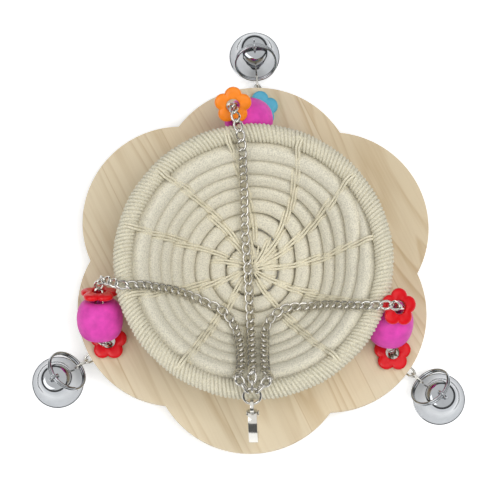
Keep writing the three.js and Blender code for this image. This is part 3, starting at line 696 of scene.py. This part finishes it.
# Each finish: its slot, what makes it, its colour and the maker's settings.
FINISHES = {
    "pine_board": ("pine", pine_material, "pine"),
    "twisted_cotton": ("cotton_rope", cotton_material, "rope", 30, 6, 0.3),
    "whipping_cotton": ("cotton_whipping", cotton_material, "whipping", 4, 2, 0.2),
    "stitching_cotton": ("cotton_whipping", cotton_material, "stitch", 3, 1.8, 0.1),
    "nickel_plate": ("nickel", metal_material, "nickel", 0.13),
    "chrome_plate": ("chrome", metal_material, "chrome", 0.07),
    "magenta_stain": ("magenta_paint", gloss_material, "magenta", 0.5, 0.0, 0.78),
}
for tint in ("red", "blue", "orange"):
    FINISHES[f"{tint}_gloss"] = (f"{tint}_paint", gloss_material, tint, 0.28, 0.25, 0.86)


def finish_of(name):
    """The named finish, made on first use."""
    made = bpy.data.materials.get(name)
    if made:
        return made
    _, make, tint, *settings = FINISHES[name]
    return make(name, tuple(getattr(bpy.context.scene.nest_colours, tint)), *settings)


# The stage and the pieces
def shown(tree):
    """One for the rays that show the background: to the camera, in metal and through glass."""
    rays = add_node(tree, "LightPath").outputs
    seen = rays["Is Camera Ray"]
    for kind in ("Glossy", "Transmission"):
        seen = add_node(tree, "Math", {0: seen, 1: rays[f"Is {kind} Ray"]}, operation="MAXIMUM")
    return seen


def add_floor(context):
    """A plain white floor that keeps the shadow."""
    floor = primitive("plane", size=2.4, location=(0, 0, -0.2 * MM))
    floor.name = "floor"
    white = tuple(context.scene.nest_colours.floor)
    inputs = {"Base Color": white, "Roughness": 0.9, "Emission Color": (1, 1, 1)}
    material, surface = shader("studio_floor", inputs)
    tree = material.node_tree
    glow = add_node(tree, "Math", {0: shown(tree), 1: FLOOR_GLOW}, operation="MULTIPLY")
    feed(surface, {"Emission Strength": glow})
    floor.data.materials.append(material)


def add_light(name, place, size, power, mirrored):
    """A square soft light aimed at the nest, seen in bright surfaces or not."""
    data = bpy.data.lights.new(name, "AREA")
    data.size = size
    data.energy = power
    lamp = linked(name, data)
    lamp.location = place
    lamp.visible_glossy = mirrored
    lamp.rotation_euler = (-Vector(place)).to_track_quat("-Z", "Y").to_euler()


def add_wall():
    """A grey wall that only reflections show, so that bright metal reads against white."""
    size = {"vertices": 64, "radius": 1.15, "depth": 0.9, "end_fill_type": "NOTHING"}
    wall = primitive("cylinder", location=(0, 0, 0.45), **size)
    wall.name = "surround"
    cloth, _ = shader("grey_cloth", {"Base Color": WALL_GREY, "Roughness": 1})
    wall.data.materials.append(cloth)
    for rays in ("camera", "diffuse", "transmission", "volume_scatter", "shadow"):
        setattr(wall, f"visible_{rays}", False)


def add_world(scene):
    """A white room that gives the nest a soft even light."""
    world = bpy.data.worlds.new("studio")
    scene.world = world
    world.use_nodes = True
    tree = world.node_tree
    inputs = {0: shown(tree), 6: ROOM_LIGHT, 7: (1, 1, 1)}
    feed(tree.nodes["Background"], {"Color": add_node(tree, "Mix", inputs, data_type="RGBA")})


class NEST_OT_stage(bpy.types.Operator):
    """Sets the camera above the nest, the floor, the lights and the world"""

    bl_idname = "nest.stage"
    bl_label = "Stage"

    def execute(self, context):
        scene = context.scene
        scene.view_settings.view_transform = "Standard"
        camera = linked("camera", bpy.data.cameras.new("camera"))
        camera.location = CAMERA_PLACE * MM
        camera.rotation_euler = [radians(turn) for turn in CAMERA_TURN_DEG]
        camera.data.sensor_width = 36
        camera.data.lens = CAMERA_LENS
        camera.data.clip_start = 0.01
        scene.camera = camera
        add_floor(context)
        for light in LIGHTS:
            add_light(*light)
        add_wall()
        add_world(scene)
        return {"FINISHED"}


def curb_link(sizes, pitch, hand):
    """A curb link: an oval of wire twisted a quarter turn from end to end, to either hand."""
    wire = sizes.link_wire / MM
    half_long = (pitch + wire) / 2
    half_wide = (sizes.link_width / MM - wire) / 2
    points = []
    ways = []
    steps = 12
    for i in range(steps):
        turn = 2 * pi * (i + 0.5) / steps
        twist = Matrix.Rotation(radians(45 * hand) * cos(turn), 3, "X")
        points.append(twist @ Vector((half_long * cos(turn), half_wide * sin(turn), 0)))
        ways.append(twist @ UP)
    return tube_mesh(points, [wire / 2] * steps, 6, ways, True)


def lay_chain(corner, sizes):
    """A corner's chain, and what it says of its length."""
    name = corner["name"]
    pitch = sizes.link_pitch / MM
    course, total = even_course(chain_points(corner), lambda reach: round(reach / pitch))
    link = curb_link(sizes, total / (len(course) - 1), -1 if name == "right" else 1)
    runs = []
    side = None
    for a, b in zip(course, course[1:]):
        along = (b - a).normalized()
        if side is None or abs(along.z) < 0.93:
            side = UP.cross(along)
        side = (side - along * side.dot(along)).normalized()
        place = basis(along, side, along.cross(side), (0, 0, 0)).to_3x3()
        centre = (a + b) / 2
        runs.append(([centre + place @ c for c in link[0]], link[1], link[2]))
    chain = tubes(f"{name}_curb_chain", runs)
    finish_piece(chain, "nickel_plate", "nest", f"{name}_chain")
    corner["chain"] = chain
    corner["course"] = [p * MM for p in course]
    corner["total"] = total * MM


class NEST_OT_chains(bpy.types.Operator):
    """Lays the three curb chains: one twisted link, copied along each course"""

    bl_idname = "nest.chains"
    bl_label = "Chains"

    def execute(self, context):
        for corner in CORNERS:
            lay_chain(corner, context.scene.nest_sizes)
        return {"FINISHED"}


def squeezed_section(turn):
    """A section pressed flat by its neighbours, with a slit to them above its middle."""
    c, s = cos(turn), sin(turn)
    reach = (abs(c) ** 3 + abs(s) ** 3) ** (-1 / 3)
    return c * reach, s * reach * (1 - ROPE_SLIT * min(max(c, 0) * 3, 1))


class NEST_OT_coil(bpy.types.Operator):
    """Winds the rope into a bowl; it keeps its ring for most of a turn, then steps out"""

    bl_idname = "nest.coil"
    bl_label = "Rope coil"

    def execute(self, context):
        radius = context.scene.nest_sizes.rope / MM / 2
        start = 0.08
        steps = 1500
        points = []
        radii = []
        ways = []
        for i in range(steps + 1):
            turn = start + (COIL_TURNS - start) * i / steps
            heading = COIL_END_DEG + (turn - COIL_TURNS) * 360
            ring = COIL_TURNS + int(heading // 360)
            grown = ring + ring_step(heading, ring)
            # The last turn swells to close the gap under the rim.
            width = 1 + ROPE_SWELL * min(max(grown - COIL_TURNS + 1.7, 0), 1)
            if ring == COIL_TURNS:
                step = ring_step(heading, ring - 1)
                grown = ring + step * 0.45
                width = 1 - 0.85 * step
            points.append(bowl_point(grown, heading, 0))
            ways.append(bowl_point(grown, heading, 1) - points[-1])
            radii.append(radius * width * pinch(grown, heading))
        for i, share in enumerate((0.25, 0.7, 0.92)):
            radii[i] *= share
            radii[-1 - i] *= share
        rope = tubes("rope_coil", [tube_mesh(points, radii, 24, ways, section=squeezed_section)])
        hub = {"radius": radius * 0.98 * MM, "location": bowl_point(0, 0, 0) * MM}
        ball = primitive("uv_sphere", segments=24, ring_count=14, **hub)
        coil = joined("rope_coil", [rope, ball], 80)
        lowest = min(v.co.z for v in coil.data.vertices)
        for vertex in coil.data.vertices:
            if vertex.co.z < 0:
                vertex.co.z *= 0.02 * MM / max(-lowest, MM)
        smooth(coil, 80)
        finish_piece(coil, "twisted_cotton", "nest", "nest_coil")
        return {"FINISHED"}


class NEST_OT_rim(bpy.types.Operator):
    """Wraps the rim in one string, each wrap drifting sideways over the top"""

    bl_idname = "nest.rim"
    bl_label = "Whipped rim"

    def execute(self, context):
        sizes = context.scene.nest_sizes
        wraps = sizes.rim_wraps
        string = sizes.rim_string / MM / 2
        core = sizes.rim / MM / 2 - string
        middle = (0, NEST_Y, RIM_CORE_Z)
        steps = 20
        points = []
        ways = []
        for i in range(wraps * steps):
            turn = 2 * pi * i / steps
            drift = i / steps + RIM_DRIFT * (1 - cos(turn)) / 2
            angle = -2 * pi * drift / wraps
            uneven = 0.12 * sin(17 * angle) + 0.1 * sin(71 * angle + 1)
            out = on_ring(1, angle)
            way = out * cos(turn) + UP * sin(turn)
            ways.append(way)
            points.append(out * RIM_CORE_RADIUS + Vector(middle) + way * (core - 0.2 + uneven))
        wound = tubes("whipped_rim", [tube_mesh(points, [string] * len(points), 6, ways, True)])
        hoop = torus(RIM_CORE_RADIUS, core * 2, middle, (96, 20))
        rim = joined("whipped_rim", [wound, hoop], 80)
        finish_piece(rim, "whipping_cotton", "nest", "nest_rim")
        return {"FINISHED"}


def stitch_strand(spoke, k, strand, string, height):
    """One string of a stitch that starts in the gap inside turn k."""
    points = []
    for i in range(11):
        share = i / 10
        slip = degrees((1.2 * sin(2.4 * k + spoke[0]) + 1.2 * share - 0.6) / (k * ROPE_PITCH))
        heading = spoke_heading(spoke, k - 1.5 + 2 * share) + slip
        turn = k - 1.5 + 2 * share + ring_step(heading, k)
        lift = height * (1 - 0.8 * abs(2 * share - 1) ** 11) - 0.25 * cos(4 * pi * share)
        point = bowl_point(max(turn, 0.14 + 0.1 * share), heading, lift)
        sideways = aim(heading + 90, 0)
        spread = 0.85 + 0.5 * share if (k + strand) % 3 else 1.35 - 0.5 * share
        points.append(point + sideways * strand * string * spread)
    return tube_mesh(points, [string] * len(points), 6)


class NEST_OT_stitches(bpy.types.Operator):
    """Stitches the rope along eleven spokes, two strings side by side over two turns"""

    bl_idname = "nest.stitches"
    bl_label = "Stitching"

    def execute(self, context):
        sizes = context.scene.nest_sizes
        string = sizes.stitch / MM / 2
        height = sizes.rope / MM / 2 - string * 0.25
        runs = []
        for spoke in SPOKES_DEG:
            for k in range(1, 9):
                for strand in (-1, 1):
                    runs.append(stitch_strand(spoke, k, strand, string, height))
        for i in range(HUB_STRANDS):
            heading = 360 * i / HUB_STRANDS + 6 * sin(2.3 * i)
            points = [bowl_point(0.24 + 0.15 * j, heading + j, height - 0.15) for j in range(9)]
            runs.append(tube_mesh(points, [string * 0.8] * 9, 6))
        stitches = tubes("stitch_string", runs)
        finish_piece(stitches, "stitching_cotton", "nest")
        return {"FINISHED"}


def cut_board(board, tool, operation):
    """Joins a disc to the board or takes it away."""
    apply_modifier(board, "BOOLEAN", object=tool, operation=operation, solver="EXACT")
    discard(tool)


class NEST_OT_board(bpy.types.Operator):
    """Cuts the board: six discs in one, less the bowl's and the chains' holes"""

    bl_idname = "nest.board"
    bl_label = "Board"

    def execute(self, context):
        sizes = context.scene.nest_sizes
        thick = sizes.board_thickness
        middle = BOARD_TOP * MM - thick / 2
        reach = sizes.board_tip - sizes.board_lobe
        lobe = {"vertices": 160, "radius": sizes.board_lobe, "depth": thick}
        discs = []
        for i in range(6):
            x, y, _ = aim(FIRST_LOBE_DEG + 60 * i, 0) * reach
            discs.append(primitive("cylinder", location=(x, y, middle), **lobe))
        board = discs[0]
        board.name = "pine_flower_board"
        for disc in discs[1:]:
            cut_board(board, disc, "UNION")
        holes = [(0, NEST_Y * MM, NEST_HOLE_RADIUS * MM, 128)]
        for corner in CORNERS:
            x, y, _ = corner_frame(corner)[0] * MM
            holes.append((x, y, sizes.chain_hole, 40))
        for x, y, radius, vertices in holes:
            size = {"vertices": vertices, "radius": radius, "depth": thick * 3}
            bit = primitive("cylinder", location=(x, y, middle), **size)
            cut_board(board, bit, "DIFFERENCE")
        edge = {"width": sizes.board_edge, "segments": 3, "limit_method": "ANGLE", "angle_limit": 0.7}
        apply_modifier(board, "BEVEL", **edge)
        smooth(board, 35)
        finish_piece(board, "pine_board", "nest", "flower_board")
        return {"FINISHED"}


def petal_reach(sizes, angle, inset):
    """How far a flower's outline, moved in by an inset, is from its middle."""
    centre = (sizes.flower - sizes.petal) / MM
    radius = sizes.petal / MM - inset
    far = max(VALLEY - 1.1 * inset, sizes.flower_bore / MM + 1)
    for i in range(5):
        off = angle - radians(90 + 72 * i)
        side = centre * sin(off)
        if cos(off) > 0 and abs(side) < radius:
            far = max(far, centre * cos(off) + sqrt(radius**2 - side**2))
    return far


def flower_model(sizes):
    """Five domed petals round a bore, drawn as rings from the bore's middle outwards and back."""
    half = sizes.flower_thickness / MM / 2
    bore = sizes.flower_bore / MM
    rings = [(None, bore, 0), (None, bore, half * 0.7), (None, bore + 0.3, half * 0.9)]
    for inset in (PETAL_DOME, 2.3, 1.7, 1.15, 0.7, 0.35, 0.12, 0):
        rise = 0.22 + 0.78 * sqrt(1 - (1 - inset / PETAL_DOME) ** 2)
        rings.append((inset, 0, half * rise))
    rings += [(inset, r, -z) for inset, r, z in reversed(rings[1:])]
    around = 100
    corners = []
    for inset, r, z in rings:
        for i in range(around):
            angle = pi / 2 + 2 * pi * i / around
            reach = r if inset is None else petal_reach(sizes, angle, inset)
            corners.append(on_ring(reach, angle, z))
    faces = []
    for k in range(len(rings)):
        for i in range(around):
            here, after = k * around, (k + 1) % len(rings) * around
            step = (i + 1) % around
            faces.append((here + i, after + i, after + step, here + step))
    model = mesh_piece("flower_model", corners, faces)
    smooth(model, 40)
    return model


class NEST_OT_flowers(bpy.types.Operator):
    """Makes a five-petalled flower and copies it to its six places"""

    bl_idname = "nest.flowers"
    bl_label = "Flowers"

    def execute(self, context):
        model = flower_model(context.scene.nest_sizes)
        for corner in CORNERS:
            hole = corner_frame(corner)[0]
            lower = turned(UP, (hole.x, hole.y, FLOWER_Z))
            place, heading, rise = corner["flower"]
            upper = turned(aim(heading, rise), place)
            for level, matrix, tint in zip(("lower", "upper"), (lower, upper), corner["paints"]):
                node = f"{corner['name']}_{level}_flower"
                place_copy(f"{node}_gloss", model, matrix, f"{tint}_gloss", f"{node}_body", node)
        discard(model)
        return {"FINISHED"}


def turned_body(name, profile, steps, angle=60):
    """A profile of (radius, height) in millimetres turned about Z and shaded smooth."""
    corners = [(r, 0, z) for r, z in profile]
    piece = mesh_piece(name, corners, [])
    piece.data.edges.add(len(corners) - 1)
    for i, edge in enumerate(piece.data.edges):
        edge.vertices = (i, i + 1)
    whole = {"use_merge_vertices": True, "merge_threshold": 1e-6}
    apply_modifier(piece, "SCREW", steps=steps, render_steps=steps, **whole)
    clean(piece, "normals_make_consistent", inside=False)
    smooth(piece, angle)
    return piece


class NEST_OT_beads(bpy.types.Operator):
    """Turns a bead with a soft bore and copies it to its three places"""

    bl_idname = "nest.beads"
    bl_label = "Beads"

    def execute(self, context):
        sizes = context.scene.nest_sizes
        radius, half, bore = sizes.bead / MM, sizes.bead_half / MM, sizes.bead_bore / MM
        profile = []
        for i in range(25):
            turn = -pi / 2 + pi * i / 24
            belly = bore + 0.8 + (radius - bore - 0.8) * max(cos(turn), 0) ** 0.8
            profile.append((belly, half * sin(turn)))
        profile += [(bore + 0.3, half - 0.1), (bore, half - 0.5)]
        profile += [(bore, 0.5 - half), (bore + 0.3, 0.1 - half), profile[0]]
        model = turned_body("bead_model", profile, 64)
        for corner in CORNERS:
            (x, y), heading, rise = corner["bead"]
            node = f"{corner['name']}_bead"
            matrix = turned(aim(heading, rise), (x, y, BEAD_Z))
            place_copy(f"{node}_stained", model, matrix, "magenta_stain", f"{node}_body", node)
        discard(model)
        return {"FINISHED"}


def plain_link(name, long, wide, wire):
    """A chain link with straight strands, long along X."""
    bend = (wide - wire) / 2
    straight = (long - wide) / 2
    points = []
    for i in range(32):
        turn = 2 * pi * (i + 0.5) / 32
        shift = straight if cos(turn) > 0 else -straight
        points.append(Vector((shift + bend * cos(turn), bend * sin(turn), 0)))
    return tubes(name, [tube_mesh(points, [wire / 2] * 32, 10, [UP] * 32, True)])


def bent_wire(name, radius, wire, turns, pitch):
    """Wire bent round on itself, with its two ends near each other."""
    points = []
    steps = round(64 * turns)
    for i in range(steps + 1):
        turn = pi / 2 + turns * 2 * pi * i / steps
        height = pitch * (i / steps - 0.5) * turns
        points.append(on_ring(radius, turn, height))
    # The ends are filed round.
    radii = [wire / 2] * len(points)
    radii[0] = radii[-1] = wire * 0.42
    return tubes(name, [tube_mesh(points, radii, 12, [UP] * len(points))], 60)


class NEST_OT_rings(bpy.types.Operator):
    """Bends the end links, the split rings and the gather ring"""

    bl_idname = "nest.rings"
    bl_label = "Links and rings"

    def execute(self, context):
        sizes = context.scene.nest_sizes
        tail = plain_link("tail_link_model", *TAIL_LINK)
        end = plain_link("end_link_model", *END_LINK)
        wire = sizes.ring_wire / MM
        ring = bent_wire("split_ring_model", sizes.ring / MM, wire, SPLIT_TURNS, wire)
        for corner in CORNERS:
            name = corner["name"]
            hole, out, across = corner_frame(corner)
            matrix = basis(out, UP, out.cross(UP), hole + out * TAIL_LINK_U + UP * TAIL_Z)
            node = f"{name}_tail_link"
            place_copy(f"{name}_tail_wire_link", tail, matrix, "nickel_plate", "nest", node)
            way = link_way(corner)
            sideways = way.cross(GATHER_NORMAL)
            matrix = basis(way, GATHER_NORMAL, sideways, GATHER + way * END_LINK_AT)
            node = f"{name}_end_link"
            place_copy(f"{name}_end_wire_link", end, matrix, "nickel_plate", "nest", node)
            along = out * cos(RING_TILT) + UP * sin(RING_TILT)
            matrix = basis(along, across, along.cross(across), hole + out * RING_U + UP * RING_Z)
            node, body = f"{name}_split_ring", f"{name}_ring_body"
            place_copy(f"{name}_split_key_ring", ring, matrix, "chrome_plate", body, node)
        wire = sizes.gather_wire / MM
        gather = bent_wire("gather_ring_model", sizes.gather / MM, wire, GATHER_TURNS, 0)
        matrix = basis(GATHER_SIDE, GATHER_BACK, GATHER_NORMAL, GATHER)
        place_copy("gather_wire_ring", gather, matrix, "nickel_plate", "nest", "gather_ring")
        for model in (tail, end, ring, gather):
            discard(model)
        return {"FINISHED"}


def bell_shell(sizes):
    """A bell's wall: a flat crown, a round shoulder, a flared skirt and a rolled lip."""
    mouth, high, wall = sizes.bell_mouth / MM, sizes.bell_height / MM, sizes.bell_wall / MM
    drawn = [Vector((r * mouth, 0, z * high)) for r, z in BELL_SHAPE]
    course, _ = even_course(drawn, lambda reach: 36)
    outer = [(p.x, min(p.z, high)) for p in course]
    inner = [(max(r - wall, CROWN_BORE), min(z, high - wall)) for r, z in reversed(outer)]
    crown = [(CROWN_BORE, high), (CROWN_BORE, high - wall)]
    lip = [(mouth - wall, 0.15), (mouth - wall * 0.7, 0), (mouth - wall * 0.3, 0), (mouth - 0.1, 0.1)]
    lip += [(mouth, 0.3), (mouth - 0.03, 0.5), (mouth - 0.15, 0.65), (mouth - 0.35, 0.7)]
    profile = outer + crown + inner + lip
    return turned_body("bell_model", profile + [profile[0]], 72, 45)


def bell_loop():
    """The eye above the crown, its stem and the eye below that carries the clapper."""
    top = torus(*TOP_EYE, (0, 0, EYE_Z), rotation=(pi / 2, 0, 0))
    low = torus(*SMALL_EYE, (0, 0, LOWER_EYE_Z), rotation=(pi / 2, 0, 0))
    foot, head = LOWER_EYE_Z + SMALL_EYE[0], EYE_Z - TOP_EYE[0]
    profile = [(0, foot), (0.75, foot), (0.8, foot + 0.4), (0.8, head - 0.4), (1, head), (0, head)]
    return joined("bell_loop_model", [top, low, turned_body("bell_stem", profile, 16)], 60)


def bell_clapper():
    """The clapper's eye above a turned ball with a neck and a stem."""
    eye = torus(*SMALL_EYE, (0, 0, CLAPPER_EYE_Z), rotation=(0, pi / 2, 0))
    ball = BALL_RADIUS
    arc = [radians(-90 + 12 * i) for i in range(14)]
    profile = [(max(ball * cos(turn), 0), BALL_Z + ball * sin(turn)) for turn in arc]
    neck, head = BALL_Z + ball, CLAPPER_EYE_Z - SMALL_EYE[0]
    profile += [(0.72, neck + 0.2), (0.6, neck + 0.6), (0.6, head - 0.3), (0.45, head), (0, head)]
    return joined("clapper_model", [eye, turned_body("striker", profile, 24)], 60)


class NEST_OT_bells(bpy.types.Operator):
    """Turns a bell with its loop and clapper and copies them to the corners"""

    bl_idname = "nest.bells"
    bl_label = "Bells"

    def execute(self, context):
        made = (
            ("dome", "shell", bell_shell(context.scene.nest_sizes), "chrome_plate", "bell"),
            ("eye", "loop", bell_loop(), "chrome_plate", "bell"),
            ("striker", "clapper", bell_clapper(), "nickel_plate", "clapper"),
        )
        for corner in CORNERS:
            hole, out, across = corner_frame(corner)
            matrix = basis(out, across, UP, hole + out * BELL_U)
            bell = f"{corner['name']}_bell"
            for piece, part, model, finish, mover in made:
                body = f"{corner['name']}_{mover}_body"
                place_copy(f"{bell}_{piece}", model, matrix, finish, body, f"{bell}_{part}")
        for _, _, model, _, _ in made:
            discard(model)
        return {"FINISHED"}


class NEST_OT_clasp(bpy.types.Operator):
    """Softens the edges of the clasp's body, pin and gate; the spring keeps its own shape"""

    bl_idname = "nest.clasp"
    bl_label = "Clasp"

    def execute(self, context):
        for node, body, edge in (
            ("clasp_body", "clasp", 0.45),
            ("clasp_pin", "clasp", 0.2),
            ("clasp_gate", "clasp_gate_body", 0.2),
        ):
            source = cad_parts[node]
            piece = copy_to(f"{node}_cast", source, source.matrix_world)
            clean(piece, "dissolve_limited", angle_limit=radians(2))
            edges = {"segments": 3, "limit_method": "ANGLE", "angle_limit": 0.6}
            apply_modifier(piece, "BEVEL", width=edge * MM, **edges)
            smooth(piece, 40)
            finish_piece(piece, "nickel_plate", body, node)
        paint(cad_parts["clasp_spring"], "nickel_plate")
        return {"FINISHED"}


class NEST_OT_declare(bpy.types.Operator):
    """Does nothing; the chain step keeps each chain's length with its corner"""

    bl_idname = "nest.declare"
    bl_label = "Chain lengths"

    def execute(self, context):
        return {"FINISHED"}


class NEST_PT_panel(bpy.types.Panel):
    """Lists the steps that build the nest"""

    bl_idname = "NEST_PT_panel"
    bl_label = "Hanging bird nest"
    bl_space_type = "VIEW_3D"
    bl_region_type = "UI"
    bl_category = "Nest"

    def draw(self, context):
        """One button for each step, then the sizes and the colours."""
        for step in STEPS:
            self.layout.operator(step.bl_idname)
        for group in (context.scene.nest_sizes, context.scene.nest_colours):
            for key in group.__annotations__:
                self.layout.prop(group, key)


STEPS = (
    NEST_OT_stage, NEST_OT_chains, NEST_OT_coil, NEST_OT_rim,
    NEST_OT_stitches, NEST_OT_board, NEST_OT_flowers, NEST_OT_beads,
    NEST_OT_rings, NEST_OT_bells, NEST_OT_clasp, NEST_OT_declare,
)
CLASSES = (NestSizes, NestColours, *STEPS, NEST_PT_panel)


def register():
    """Registers the classes and the two groups of settings."""
    for cls in CLASSES:
        bpy.utils.register_class(cls)
    bpy.types.Scene.nest_sizes = bpy.props.PointerProperty(type=NestSizes)
    bpy.types.Scene.nest_colours = bpy.props.PointerProperty(type=NestColours)


def unregister():
    """Removes what register added."""
    del bpy.types.Scene.nest_colours
    del bpy.types.Scene.nest_sizes
    for cls in reversed(CLASSES):
        bpy.utils.unregister_class(cls)


def main():
    """Builds every piece in order."""
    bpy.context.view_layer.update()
    register()
    for step in STEPS:
        group, action = step.bl_idname.split(".")
        getattr(getattr(bpy.ops, group), action)()


if __name__ == "__main__":
    main()
